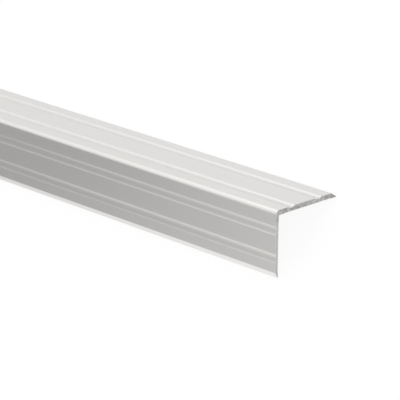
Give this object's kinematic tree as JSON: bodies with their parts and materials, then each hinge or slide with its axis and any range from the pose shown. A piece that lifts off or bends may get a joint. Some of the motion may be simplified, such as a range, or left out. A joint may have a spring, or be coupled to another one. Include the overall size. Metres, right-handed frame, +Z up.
{
  "type": "corner trim",
  "caption": "Straight aluminium angle stock that caps the outside corner of a stair or board, with grooved outer faces, bevelled free edges and notched glue faces.",
  "frame": {"origin": "on the floor under the middle of the stock, at the centre of the bounding box's base", "axes": "+X along the stock, +Z up from the floor, -Y towards the narrow leg and +Y towards the wide leg; both legs slope down from the corner to the floor"},
  "size_m": [0.9, 0.03, 0.0158],
  "materials": {
    "silver_anodised": "satin silver anodising over fine lengthwise extrusion lines"
  },
  "bodies": {
    "root": {"corner_trim": "silver_anodised"}
  },
  "joints": []
}
